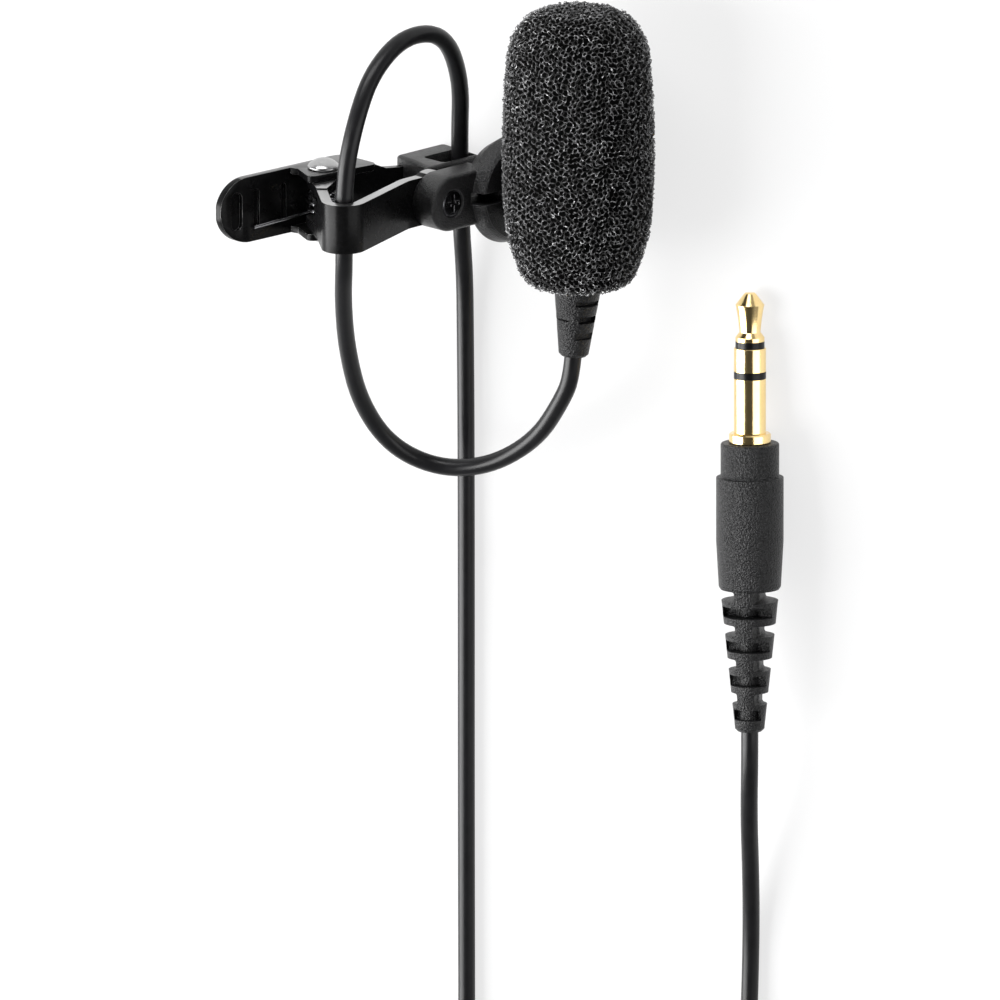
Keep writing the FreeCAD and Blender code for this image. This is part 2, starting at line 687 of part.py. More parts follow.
def make_microphone():
    """Metal housing with its grille, and the capsule and board that it holds."""
    radius, bore = cell("housing_radius"), cell("housing_bore")
    low, high, top = cell("housing_low"), cell("housing_high"), cell("grille_top")
    cord_hole = 1.25
    body = new_body("mic_housing", mic_frame)
    turned(body, [
        (cord_hole, -low), (radius - 0.2, -low), (radius, -low + 0.2), (radius, high),
        (bore, high), (bore, -low + 0.8), (cord_hole, -low + 0.8),
    ])
    body = new_body("mic_grille", mic_frame)
    spigot = 0.6
    turned(body, [
        (bore - 0.25, high - spigot), (bore, high - spigot), (bore, high), (radius, high),
        (radius, top - 0.4), (radius - 0.4, top), (0, top), (0, top - 0.35),
        (bore - 0.25, top - 0.35),
    ])
    holes = new_sketch(body, "XY_Plane", top + 1)
    circle(holes, 0.22)
    for count, reach in ((6, 0.75), (12, 1.5)):
        for i in range(count):
            angle = 2 * math.pi * i / count
            circle(holes, 0.22, (reach * math.cos(angle), reach * math.sin(angle)))
    pocket(body, holes, 2.0)
    capsule, low_end, high_end = cell("capsule_radius"), cell("capsule_low"), cell("capsule_high")
    body = new_body("capsule", mic_frame)
    turned(body, [
        (0, low_end), (capsule - 0.1, low_end), (capsule, low_end + 0.1), (capsule, high_end - 0.1),
        (capsule - 0.1, high_end), (1.3, high_end), (1.3, high_end - 0.15), (0.5, high_end - 0.15),
        (0.5, high_end - 0.6), (0, high_end - 0.6),
    ])
    body = new_body("capsule_sleeve", mic_frame)
    turned(body, [
        (capsule, low_end - 0.6), (bore, low_end - 0.6), (bore, high_end + 0.4),
        (capsule, high_end + 0.4),
    ])
    body = new_body("capsule_board", mic_frame)
    board = circle(new_sketch(body, "XY_Plane", low_end - 0.5), capsule - 0.15)
    pad(body, board, 0.4)
    pads = new_sketch(body, "XY_Plane", low_end - 0.6)
    for side in (-0.8, 0.8):
        circle(pads, 0.35, (side, 0))
    pad(body, pads, 0.2)


def make_mic_collar():
    """Ring round the housing with the stud that turns in the holder's ring."""
    radius, half = cell("collar_radius"), cell("collar_half")
    bore, edge = cell("housing_radius"), 0.15
    body = new_body("mic_collar", mic_frame)
    turned(body, [
        (bore, -half), (radius - edge, -half), (radius, -half + edge), (radius, half - edge),
        (radius - edge, half), (bore, half),
    ])
    reach = cell("mic_reach")
    front, back = reach - cell("ring_front"), reach + cell("ring_back")
    gap = 0.1
    neck, stud = cell("stud_neck"), cell("stud_radius")
    flange, lip = cell("stud_flange"), cell("stud_lip")
    sketch = outline(new_sketch(body, "YZ_Plane"), [
        (bore + 0.02, 0), (back + 0.45, 0), (back + 0.45, stud), (back + 0.3, lip),
        (back + gap, lip), (back + gap, stud), (front - gap, stud), (front - gap, flange),
        (front - gap - 0.25, flange), (front - gap - 0.25, neck), (bore + 0.02, neck),
    ])
    feature = body.newObject("PartDesign::Revolution", "stud")
    feature.Profile = sketch
    feature.ReferenceAxis = (sketch, ["H_Axis"])
    feature.Angle = 360
    settle(body, feature)


def make_mic_boot():
    """Slotted rubber strain relief under the microphone."""
    long, top, end = cell("boot_long"), cell("boot_top"), cell("boot_end")
    gap, cord = cell("boot_gap"), cell("cord") / 2
    lean_over = FreeCAD.Rotation(V(0, 1, 0), 180 + at("boot_lean"))
    frame = mic_frame * FreeCAD.Placement(V(0, 0, -at("housing_low")), lean_over)
    body = new_body("mic_boot", frame)
    spigot = 1.0
    turned(body, [
        (0, -0.6), (spigot, -0.6), (spigot, gap), (top, gap), (top, 1.0), (end, long - 0.3),
        (end - 0.3, long), (cord, long), (cord, long - cell("boot_socket")),
        (0, long - cell("boot_socket")),
    ])
    core, outer = cell("boot_core"), 3.0
    front_slots = [(1.75, 2.3, 1.3, 1.75), (3.45, 4.2, core, 1.2), (5.3, 6.05, core, 1.35)]
    side_slots = [(3.3, 4.05, 1.75, 2.6)]
    for plane, slots in (("YZ_Plane", front_slots), ("XZ_Plane", side_slots)):
        for low, high, inner, width in slots:
            for side in (1, -1):
                near_end, far_end = side * inner, side * outer
                slot = new_sketch(body, plane)
                outline(slot, [(near_end, low), (far_end, low), (far_end, high), (near_end, high)])
                pocket(body, slot, 2 * width, middle=True)
    return frame


def make_windscreen():
    """Foam windscreen: a closed, egg-shaped solid with its bore and the slot for the stud."""
    bore, depth, low, high = cell("foam_bore"), cell("foam_depth"), cell("foam_low"), cell("foam_high")
    body = new_body("windscreen", mic_frame)
    turned(
        body,
        [(bore, -low), (3.75, -low), (6.35, -7.2), (8.1, 1.0), (7.75, 16.1), (5.6, 20.85),
         (2.6, high), (0, high), (0, depth), (bore, depth)],
        {1: 2.6, 2: 22.5, 3: 114.0, 4: 6.6, 5: 5.2},
    )
    slot = new_sketch(body, "XY_Plane", 2.0)
    box_outline(slot, -cell("foam_slot"), cell("foam_slot"), 1.0, 10.0)
    pocket(body, slot, low + 3)


def plug_frame():
    """Where the plug lies: on the rim of its grip and on its tip."""
    neck, grip, tip, long = at("neck_long", "grip_radius", "tip_bulge", "bulge_at")
    slope = math.atan((grip - tip) / (neck + long))
    height = long * math.sin(slope) + tip * math.cos(slope)
    spot = V(at("plug_east"), -at("plug_south"), height)
    heading = FreeCAD.Rotation(V(0, 0, 1), at("plug_yaw"))
    dip = FreeCAD.Rotation(V(1, 0, 0), -90 - math.degrees(slope))
    return FreeCAD.Placement(spot, heading * dip)


def make_plug(frame):
    """Three-contact plug: rod, tubes and insulators nested in one another, and the grip."""
    radius, groove = cell("contact_radius"), cell("groove_radius")
    rod, rod_sleeve = cell("rod_radius"), cell("rod_sleeve")
    ring_tube, sleeve_bore = cell("ring_tube"), cell("sleeve_bore")
    tip_low, ring_high = cell("tip_low"), cell("ring_high")
    ring_low, sleeve_high = cell("ring_low"), cell("sleeve_high")
    long, bulge, bulge_at = cell("shaft_long"), cell("tip_bulge"), cell("bulge_at")
    waist, waist_at = 1.16, 11.0
    rod_end, first_end, second_end, third_end = -12.0, -11.2, -10.6, -9.9
    body = new_body("plug_tip", frame)
    turned(body, [
        (0, rod_end), (rod, rod_end), (rod, tip_low), (groove, tip_low), (groove, tip_low + 0.42),
        (waist, waist_at), (bulge, bulge_at), (0.65, long - 0.12), (0.48, long), (0, long),
    ], {5: -20.0})
    body = new_body("tip_insulator", frame)
    turned(body, [
        (rod, first_end), (rod_sleeve, first_end), (rod_sleeve, ring_high), (groove, ring_high),
        (groove, tip_low), (rod, tip_low),
    ])
    body = new_body("ring_contact", frame)
    turned(body, [
        (rod_sleeve, second_end), (ring_tube, second_end), (ring_tube, ring_low),
        (radius - 0.05, ring_low), (radius, ring_low + 0.05), (radius, ring_high - 0.05),
        (radius - 0.05, ring_high), (rod_sleeve, ring_high),
    ])
    body = new_body("ring_insulator", frame)
    turned(body, [
        (ring_tube, third_end), (sleeve_bore, third_end), (sleeve_bore, sleeve_high),
        (radius, sleeve_high), (radius, ring_low), (ring_tube, ring_low),
    ])
    shoulder, thick = cell("shoulder_radius"), cell("shoulder_thick")
    seat, seat_end = cell("seat_radius"), cell("seat_end")
    body = new_body("plug_sleeve", frame)
    turned(body, [
        (sleeve_bore, -seat_end), (seat, -seat_end), (seat, -thick), (shoulder - 0.1, -thick),
        (shoulder, -thick + 0.1), (shoulder, -0.15), (shoulder - 0.15, 0), (radius, 0),
        (radius, sleeve_high - 0.05), (radius - 0.05, sleeve_high), (sleeve_bore, sleeve_high),
    ])
    neck, neck_long, grip = cell("neck_radius"), cell("neck_long"), cell("grip_radius")
    grip_end, bore = cell("grip_end"), cell("shell_bore")
    body = new_body("plug_body", frame)
    turned(body, [
        (seat, -thick), (neck - 0.15, -thick), (neck, -thick - 0.15), (neck, -neck_long),
        (grip, -neck_long), (grip, -11.8), (grip - 0.28, -grip_end + 0.15),
        (grip - 0.4, -grip_end), (bore, -grip_end), (bore, -seat_end), (seat, -seat_end),
    ])


def make_plug_strain_relief(frame):
    """Flexible relief: a cone cut by turns from the sides and through the middle."""
    top, end, long = cell("relief_top"), cell("relief_end"), cell("relief_long")
    web, core, pitch = cell("relief_web"), cell("relief_core"), cell("relief_pitch")
    grip_end, bore, cord = cell("grip_end"), cell("shell_bore"), cell("cord") / 2
    socket = cell("relief_socket")
    body = new_body("plug_strain_relief", frame)
    turned(body, [
        (0, -14.4), (bore, -14.4), (bore, -grip_end), (top, -grip_end), (end, -long + 0.3),
        (end - 0.3, -long), (cord, -long), (cord, -long + socket), (0, -long + socket),
    ])
    outer, notch, window, root = 4.0, 1.28, 1.2, 0.26
    wall = cell("relief_middle")
    for i, width in enumerate((2.75, 2.42, 2.02, 1.5)):
        notch_top = -grip_end - 0.09 - pitch * i
        notch_low = notch_top - notch
        for side in (1, -1):
            cut = new_sketch(body, "XZ_Plane")
            outline(cut, [
                (side * (web + root), notch_top), (side * outer, notch_top),
                (side * outer, notch_low), (side * (web + root), notch_low),
                (side * web, notch_low + root), (side * web, notch_top - root),
            ], {3: -side * root, 5: -side * root})
            pocket(body, cut, 2 * outer, middle=True)
        window_top = notch_top - 1.8
        for lift, deep in ((outer, outer - wall), (-wall, outer)):
            cut = new_sketch(body, "XZ_Plane", lift)
            box_outline(cut, -width, width, window_top - window, window_top)
            pocket(body, cut, deep)
    middle = circle(new_sketch(body, "XY_Plane", -long + socket), core)
    pad(body, middle, long - socket - grip_end)


def hank_path():
    """Put-away length: a spiral in, up a layer, out, up, in, up and out again."""
    radius, turn_pitch, layer_pitch = at("hank_radius", "turn_pitch", "layer_pitch")
    half_turns, layers = 8, 4
    step = turn_pitch / 2
    inner = radius - half_turns * step
    height = at("hank_lift") + at("cord") / 2
    reaches, heights = [radius], [height]
    for layer in range(layers):
        inward = layer % 2 == 0
        for i in range(1, half_turns + 1):
            reaches.append(radius - step * i if inward else inner + step * i)
            heights.append(height)
        if layer < layers - 1:
            height += layer_pitch
            dip = at("reversal_step")
            reaches.append(inner - dip if inward else radius + dip)
            heights.append(height)
    east, south = at("hank_east", "hank_south")
    spots = [
        V(east + (reach if i % 2 else -reach), -south, height)
        for i, (reach, height) in enumerate(zip(reaches, heights))
    ]
    lead = V(0, at("cord"), 0)
    edges = [Part.LineSegment(spots[0] + lead, spots[0]).toShape()]
    for i, (a, b) in enumerate(zip(spots, spots[1:])):
        side = 1 if i % 2 else -1
        reach = abs(b.x - a.x) / 2
        crown = V((a.x + b.x) / 2, a.y + side * reach, (a.z + b.z) / 2)
        if near(a.z, b.z, 1e-6):
            edges.append(Part.Arc(a, crown, b).toShape())
            continue
        slope = V(-side, 0, 1.3 * layer_pitch / (math.pi * reach)).normalize()
        edges += biarc(a, V(0, side, 0), crown, slope)
        edges += biarc(crown, slope, b, V(0, -side, 0))
    edges.append(Part.LineSegment(spots[-1], spots[-1] + lead).toShape())
    return edges


def make_coil_tie():
    """Closed strap round one side of the coiled cord."""
    thin, width = cell("tie_sheet"), cell("tie_width")
    frame = FreeCAD.Placement(V(at("hank_east"), -at("hank_south"), 0), FreeCAD.Rotation())
    body = new_body("coil_tie", frame)
    inside, outside, top, corner = -2.65, -18.0, 10.3, 1.5
    sketch = new_sketch(body, "YZ_Plane")
    for gap in (0, thin):
        round_off = corner - number(gap)
        west, east = outside + gap, inside - gap
        low, high = 0 + gap, top - gap
        outline(
            sketch,
            [(west + round_off, low), (east - round_off, low), (east, low + round_off),
             (east, high - round_off), (east - round_off, high), (west + round_off, high),
             (west, high - round_off), (west, low + round_off)],
            {1: round_off, 3: round_off, 5: round_off, 7: round_off},
        )
    pad(body, sketch, width, middle=True)


def make_cords(boot, plug):
    """The cord's stretches, from the microphone round the clip to the coil and the plug."""
    boot_long, boot_socket = at("boot_long", "boot_socket")
    relief_long, relief_socket = at("relief_long", "relief_socket")
    hairpin = clip_frame.multVec(V(-at("hairpin_west"), 0, -at("hairpin_back")))
    slot = clip_frame.multVec(V(7.1, 0, -6.05))
    through = V(0, 5.0, 0.32)
    loop = [
        boot.multVec(V(0, 0, boot_long - boot_socket)), boot.multVec(V(0, 0, boot_long + 2.2)),
        V(12.47, -24.36, 10.4), V(9.27, -29.36, 9.0), V(3.57, -33.26, 7.4), V(-2.33, -34.06, 7.2),
        V(-7.13, -31.26, 9.4), V(-9.43, -25.56, 13.0), V(-9.63, -18.56, 17.2), V(-8.83, -11.86, 21.3),
        hairpin + V(0, -4.2, -0.1), hairpin,
    ]
    arc = [
        hairpin, hairpin + V(0, 5.0, 0), V(-6.73, 8.54, 23.5), V(-5.63, 13.44, 20.8),
        V(-3.33, 16.54, 16.3), V(-0.43, 15.74, 11.2), V(0.12, 9.64, 6.6), slot + through, slot,
    ]
    edges = hank_path()
    coil_start, coil_end = edges[0].Vertexes[0].Point, edges[-1].Vertexes[-1].Point
    main = [
        slot, slot - through * 0.96, V(-0.98, -13.36, 1.55), V(-1.08, -19.96, 0.95),
        V(-1.01, -29.96, 0.95), V(-0.99, -46.96, 0.95), V(-1.01, -67.96, 0.95), V(-1.0, -84.96, 0.95),
        V(-0.97, -97.96, 0.97), V(-0.92, -106.96, 1.35), coil_start,
    ]
    lead = [
        plug.multVec(V(0, 0, -relief_long + relief_socket)), plug.multVec(V(0, 0, -relief_long - 3.4)),
        V(32.27, -70.96, 5.6), V(31.77, -77.46, 2.9), V(31.42, -84.46, 1.1), V(31.27, -92.46, 0.95),
        V(31.17, -99.96, 1.5), V(31.08, -107.46, 7.6), coil_end,
    ]
    cord = at("cord")
    path, radii = cord_path(loop)
    lowest = 10
    west, east = [vertex.Point for vertex in path[lowest].Vertexes]
    halfway = (west + east) * 0.5
    tube("cord_loop_low", path[:lowest] + [Part.LineSegment(west, halfway).toShape()], cord, radii)
    tube("cord_loop_left", [Part.LineSegment(halfway, east).toShape()] + path[lowest + 1:], cord)
    total = sum(edge.Length for edge in path)
    for label, points in (
        ("cord_upper_arc", arc), ("cord_main", main), ("cord_plug_lead", lead),
    ):
        path, radii = cord_path(points)
        tube(label, path, cord, radii)
        total += sum(edge.Length for edge in path)
    tube("cord_coil", edges, cord)
    print("coil least gap", round(least_gap(edges, cord), 2))
    total += sum(edge.Length for edge in edges)
    print("whole cord", round(total), "mm")


make_mic_holder()
make_holder_screw()
make_front_arm()
make_rear_clip_half()
make_rear_jaw_block()
make_clip_rivet()
make_clip_spring()
make_microphone()
make_mic_collar()
boot_frame = make_mic_boot()
make_windscreen()
lying_plug = plug_frame()
make_plug(lying_plug)
make_plug_strain_relief(lying_plug)
make_coil_tie()
make_cords(boot_frame, lying_plug)

doc.recompute()
wrong = [item.Name for item in doc.Objects if "Invalid" in item.State or "Error" in item.State]
if wrong:
    raise RuntimeError(f"these did not build: {wrong}")
on_cord = ("cord", "coil", "plug", "tip", "ring_contact", "ring_insulator")
box = FreeCAD.BoundBox()
for part in parts:
    shape = part.Shape
    if shape.isNull() or not shape.isValid() or len(shape.Solids) != 1:
        raise RuntimeError(f"{part.Label} is not one sound solid")
    if not part.Label.startswith(on_cord):
        box.add(shape.BoundBox)
    shape.exportStep(f"parts/{part.Label}.step")
print("pieces", len(parts))
print("object without its cord", [round(v, 3) for v in (
    box.XMin, box.XMax, box.YMin, box.YMax, box.ZMin, box.ZMax)])
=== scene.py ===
# %% [markdown]
# A lavalier microphone, made as a lesson
#
# The object is a small clip-on microphone: a black metal clip, a foam windscreen held in a swivel
# ring, and a slim cord that loops round the clip and ends in a gold plug. Its exact parts come
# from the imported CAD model. This lesson gives them their looks, and makes the soft pieces anew.
# One Blender unit is a metre, so a number in millimetres is written as 3.5 * MM.

import json
import math

import bmesh
import bpy
import numpy as np
from mathutils import Matrix, Vector
from mathutils.bvhtree import BVHTree

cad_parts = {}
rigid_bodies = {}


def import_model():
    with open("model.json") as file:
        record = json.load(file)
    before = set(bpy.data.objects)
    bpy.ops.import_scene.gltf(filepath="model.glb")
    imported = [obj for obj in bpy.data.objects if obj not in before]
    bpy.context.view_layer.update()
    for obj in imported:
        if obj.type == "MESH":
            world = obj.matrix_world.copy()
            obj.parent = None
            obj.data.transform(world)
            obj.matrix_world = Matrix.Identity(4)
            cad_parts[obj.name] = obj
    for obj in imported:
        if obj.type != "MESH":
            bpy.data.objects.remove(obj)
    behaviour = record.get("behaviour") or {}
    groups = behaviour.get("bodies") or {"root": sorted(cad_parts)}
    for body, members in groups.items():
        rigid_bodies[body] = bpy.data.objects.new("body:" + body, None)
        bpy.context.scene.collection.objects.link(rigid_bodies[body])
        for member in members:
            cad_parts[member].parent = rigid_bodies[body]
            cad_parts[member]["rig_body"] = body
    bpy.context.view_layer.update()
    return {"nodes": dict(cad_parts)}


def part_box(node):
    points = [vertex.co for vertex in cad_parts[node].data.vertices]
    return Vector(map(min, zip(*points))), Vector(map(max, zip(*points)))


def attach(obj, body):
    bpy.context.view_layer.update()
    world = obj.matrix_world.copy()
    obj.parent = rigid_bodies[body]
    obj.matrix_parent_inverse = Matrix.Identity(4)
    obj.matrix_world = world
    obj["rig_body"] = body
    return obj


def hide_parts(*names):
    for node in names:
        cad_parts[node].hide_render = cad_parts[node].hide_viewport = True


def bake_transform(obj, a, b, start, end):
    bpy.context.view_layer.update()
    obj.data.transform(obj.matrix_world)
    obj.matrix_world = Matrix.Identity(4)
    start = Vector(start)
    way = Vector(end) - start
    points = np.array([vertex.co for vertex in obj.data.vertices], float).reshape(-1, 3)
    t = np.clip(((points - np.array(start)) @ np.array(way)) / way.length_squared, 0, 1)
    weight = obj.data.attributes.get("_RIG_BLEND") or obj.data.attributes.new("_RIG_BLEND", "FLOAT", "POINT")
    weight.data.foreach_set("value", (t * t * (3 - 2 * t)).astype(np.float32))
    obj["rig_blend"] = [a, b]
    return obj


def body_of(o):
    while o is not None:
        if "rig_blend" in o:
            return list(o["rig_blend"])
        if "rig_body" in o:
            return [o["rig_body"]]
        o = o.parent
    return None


MM = 0.001
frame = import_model()
scene = bpy.context.scene
for node in frame["nodes"].values():
    node.select_set(False)
print("CAD nodes", len(frame["nodes"]))

# %% [markdown]
# The camera
#
# The photograph looks down on the object from a little to the right and a little above, from
# far away. A long lens from far away flattens the view in the same way, and a camera that is
# turned with a plain rotation matrix keeps its place when other views move it.

# %% Camera
CAMERA_PLACE = Vector((378.751, 359.874, 1311.945)) * MM
CAMERA_RIGHT = Vector((0.961262, 0.0, -0.275637))
CAMERA_UP = Vector((-0.077363, 0.959805, -0.269797))
CAMERA_BACK = Vector((0.26456, 0.28067, 0.92262))
LENS, SENSOR = 470.2, 36.0


def add_camera():
    camera = bpy.data.cameras.new("camera")
    camera.sensor_width = SENSOR
    camera.lens = LENS
    holder = bpy.data.objects.new("camera", camera)
    scene.collection.objects.link(holder)
    turn = Matrix((CAMERA_RIGHT, CAMERA_UP, CAMERA_BACK)).transposed()
    holder.matrix_world = Matrix.Translation(CAMERA_PLACE) @ turn.to_4x4()
    scene.camera = holder


add_camera()
scene.view_settings.view_transform = "Standard"

# %% [markdown]
# Writing shaders as sums
#
# A node tree is a drawing of a calculation. Python can write the same calculation as a line of
# text, if one small class stands for a socket and adds a Math node for each operator. Colours
# go through Mix nodes instead, because a Math node would turn them grey.

# %% Shader helper


class Link:
    """A socket of a node tree, on which the usual operators add Math nodes."""

    def __init__(self, tree, socket):
        self.tree = tree
        self.socket = socket

    def math(self, operation, other):
        return node_in(self.tree, "ShaderNodeMath", {"operation": operation}, [self, other])

    def __add__(self, other):
        return self.math("ADD", other)

    __radd__ = __add__

    def __mul__(self, other):
        return self.math("MULTIPLY", other)

    __rmul__ = __mul__

    def above(self, low, high):
        """0 below low, 1 above high, and smooth between."""
        return node_in(
            self.tree, "ShaderNodeMapRange", {"interpolation_type": "SMOOTHSTEP"}, [self, low, high]
        )


def node_in(tree, kind, settings, values, output=0):
    """Add a node: its settings first, then the value or link of each of its sockets."""
    made = tree.nodes.new(kind)
    for name, value in settings.items():
        setattr(made, name, value)
    pairs = values.items() if isinstance(values, dict) else enumerate(values)
    for name, value in pairs:
        socket = made.inputs[name]
        if isinstance(value, Link):
            tree.links.new(value.socket, socket)
        else:
            socket.default_value = value
    return Link(tree, made.outputs[output])


class Finish:
    """A material with one Principled shader, and the patterns that feed it."""

    def __init__(self, name):
        self.material = bpy.data.materials.new(name)
        self.material.use_nodes = True
        self.tree = self.material.node_tree
        self.shader = self.tree.nodes["Principled BSDF"]
        self.place = self.node("ShaderNodeTexCoord", {}, {}, "Object")

    def node(self, kind, settings, values, output=0):
        return node_in(self.tree, kind, settings, values, output)

    def set(self, **values):
        for name, value in values.items():
            socket = self.shader.inputs[name.replace("_", " ")]
            if isinstance(value, Link):
                self.tree.links.new(value.socket, socket)
            else:
                socket.default_value = value

    def turned_place(self, origin, turn):
        """Object coordinates seen from a piece's own origin and directions."""
        back = turn.inverted()
        shift = -(back @ Vector(origin))
        return self.node(
            "ShaderNodeMapping", {},
            {"Vector": self.place, "Location": shift, "Rotation": back.to_euler()},
        )

    def noise(self, scale, detail):
        return self.node(
            "ShaderNodeTexNoise", {}, {"Vector": self.place, "Scale": scale, "Detail": detail}
        )

    def colours(self, factor, low, high):
        values = {"Factor": factor, 6: (*low, 1.0), 7: (*high, 1.0)}
        return self.node("ShaderNodeMix", {"data_type": "RGBA"}, values, 2)

    def bump(self, height, depth, strength):
        """Relief of the given depth in metres."""
        normal = self.node(
            "ShaderNodeBump", {}, {"Strength": strength, "Distance": depth, "Height": height}
        )
        self.set(Normal=normal)


# %% [markdown]
# The cord
#
# The cord is one slim PVC cable. It leaves the microphone, runs round under the clip, through the
# hairpin of the front arm, over the clip and down through the jaw. A NURBS curve through a few
# given points is smooth all along, as a cable is, where straight runs would look like bent
# wire. The stretches between moving bodies are meshes, so that they can bend with the joints.

# %% Cord routes
CORD = 1.9 * MM
BOOT_EXIT = (13.978, -17.088, 10.775)
HAIRPIN = (-7.736, -2.609, 24.453)
SLOT = (-0.776, -2.609, 3.957)
LOOP_SPLIT = (-4.73, -32.66, 8.3)
RELIEF_EXIT = (32.569, -59.961, 6.571)
LOOP_LOW = [
    BOOT_EXIT, (13.807, -21.273, 11.083), (12.47, -24.36, 10.4), (9.27, -29.36, 9.0),
    (3.57, -33.26, 7.4), (-2.33, -34.06, 7.2), LOOP_SPLIT,
]
LOOP_LEFT = [
    LOOP_SPLIT, (-7.13, -31.26, 9.4), (-9.43, -25.56, 13.0), (-9.63, -18.56, 17.2),
    (-8.83, -11.86, 21.3), (-7.736, -6.809, 24.353), HAIRPIN,
]
UPPER_ARC = [
    HAIRPIN, (-7.736, 2.391, 24.453), (-6.73, 8.54, 23.5), (-5.63, 13.44, 20.8),
    (-3.33, 16.54, 16.3), (-0.43, 15.74, 11.2), (0.12, 9.64, 6.6), (-0.776, 2.391, 4.277), SLOT,
]
MAIN = [
    SLOT, (-0.776, -7.409, 3.65), (-0.98, -13.36, 1.55), (-1.08, -19.96, 0.95),
    (-1.01, -29.96, 0.95), (-0.99, -46.96, 0.95), (-1.01, -67.96, 0.95), (-1.0, -84.96, 0.95),
    (-0.97, -97.96, 0.97), (-0.92, -106.96, 1.35),
]
PLUG_LEAD = [
    (31.08, -107.46, 7.6), (31.17, -99.96, 1.5), (31.27, -92.46, 0.95), (31.42, -84.46, 1.1),
    (31.77, -77.46, 2.9), (32.27, -70.96, 5.6), (32.720, -64.332, 7.052), RELIEF_EXIT,
]

# %% [markdown]
# The put-away length
#
# Most of the cord isn't in the picture. It is wound into a neat flat coil beyond the lower edge,
# in half turns that grow narrower to the middle, climb a layer and grow wider again. A loop
# works the points out, because nobody places two hundred points by hand.

# %% Coil points
COIL_EAST, COIL_NORTH = 15.07, -115.96
COIL_REACH, COIL_STEP, COIL_DIP, COIL_LEAD = 16.0, 1.21, 0.7, 2.8
COIL_LAYERS, HALF_TURNS = 4, 8
COIL_FLOOR, LAYER_PITCH = 1.5, 2.36
POINTS_PER_HALF = 8


def coil_points():
    """The coil's control points, from its left end to its right end."""
    inner = COIL_REACH - HALF_TURNS * COIL_STEP
    height = COIL_FLOOR
    reaches, heights = [COIL_REACH], [height]
    for layer in range(COIL_LAYERS):
        inward = layer % 2 == 0
        for i in range(1, HALF_TURNS + 1):
            reaches.append(COIL_REACH - COIL_STEP * i if inward else inner + COIL_STEP * i)
            heights.append(height)
        if layer < COIL_LAYERS - 1:
            height += LAYER_PITCH
            reaches.append(inner - COIL_DIP if inward else COIL_REACH + COIL_DIP)
            heights.append(height)
    points = [(COIL_EAST - COIL_REACH, COIL_NORTH + COIL_LEAD, COIL_FLOOR)]
    wider = 1 / math.cos(math.pi / 2 / POINTS_PER_HALF)
    for i, (reach, following) in enumerate(zip(reaches, reaches[1:])):
        side = 1 if i % 2 else -1
        radius = (reach + following) / 2
        middle = COIL_EAST + side * (reach - following) / 2
        climb = heights[i + 1] - heights[i]
        for k in range(POINTS_PER_HALF):
            share = (k + 0.5) / POINTS_PER_HALF
            angle = math.pi * share
            points.append((
                middle + side * radius * wider * math.cos(angle),
                COIL_NORTH + side * radius * wider * math.sin(angle),
                heights[i] + climb * (3 - 2 * share) * share * share,
            ))
    points.append((COIL_EAST + COIL_REACH, COIL_NORTH + COIL_LEAD, heights[-1]))
    return points


LONG_CORD = MAIN + coil_points() + PLUG_LEAD
print("points of the long cord", len(LONG_CORD))

# %% [markdown]
# From points to tubes
#
# A curve object with a round bevel is the simplest cord: it stays smooth however it turns, and its
# middle line can be measured. A stretch that has to bend with a joint is converted to a mesh.

# %% Curves from the points
STEPS_PER_POINT, STEPS_ROUND = 6, 5
TUBE_CREASE = math.radians(50)


def nurbs(name, points, radius=0.0):
    """One open NURBS spline, with these points in millimetres as its control points."""
    curve = bpy.data.curves.new(name, "CURVE")
    curve.dimensions = "3D"
    curve.resolution_u = STEPS_PER_POINT
    curve.bevel_depth = radius
    curve.bevel_resolution = STEPS_ROUND
    curve.use_fill_caps = radius > 0
    spline = curve.splines.new("NURBS")
    spline.points.add(len(points) - 1)
    for spot, point in zip(spline.points, points):
        spot.co = (*(Vector(point) * MM), 1.0)
    spline.order_u = 3
    spline.use_endpoint_u = True
    made = bpy.data.objects.new(name, curve)
    scene.collection.objects.link(made)
    return made


def centreline(points):
    """The points along the smooth line that the control points give."""
    guide = nurbs("guide", points)
    mesh = bpy.data.meshes.new_from_object(guide)
    line = [vertex.co.copy() for vertex in mesh.vertices]
    bpy.data.objects.remove(guide)
    return line


def only(piece):
    """Select one piece and nothing else."""
    bpy.ops.object.select_all(action="DESELECT")
    piece.select_set(True)
    bpy.context.view_layer.objects.active = piece


def tube(name, points):
    """A cord stretch as a mesh, and the line that it follows."""
    made = nurbs(name, points, CORD / 2)
    only(made)
    bpy.ops.object.convert(target="MESH")
    made = bpy.context.view_layer.objects.active
    made.name = name
    bpy.ops.object.shade_smooth_by_angle(angle=TUBE_CREASE)
    return made, centreline(points)


def length_of(line):
    return sum((b - a).length for a, b in zip(line, line[1:]))


# %% [markdown]
# The cord's jacket
#
# A cord's jacket is extruded PVC: satin black, very slightly uneven, with a faint sheen along its
# side. A slow noise in its colour and gloss, and a fine one in a very shallow bump, give that
# without any drawn pattern.

# %% Cord jacket


def cord_jacket():
    finish = Finish("cord_jacket")
    cloud = finish.noise(900.0, 4.0)
    fine = finish.noise(9000.0, 2.0)
    finish.set(
        Base_Color=finish.colours(cloud, (0.006, 0.006, 0.0065), (0.011, 0.011, 0.012)),
        Roughness=0.26 + cloud * 0.12,
        Specular_IOR_Level=0.22,
    )
    finish.bump(fine, 0.012 * MM, 0.5)
    return finish.material


jacket = cord_jacket()


def dress(piece, material):
    piece.data.materials.clear()
    piece.data.materials.append(material)
    return piece
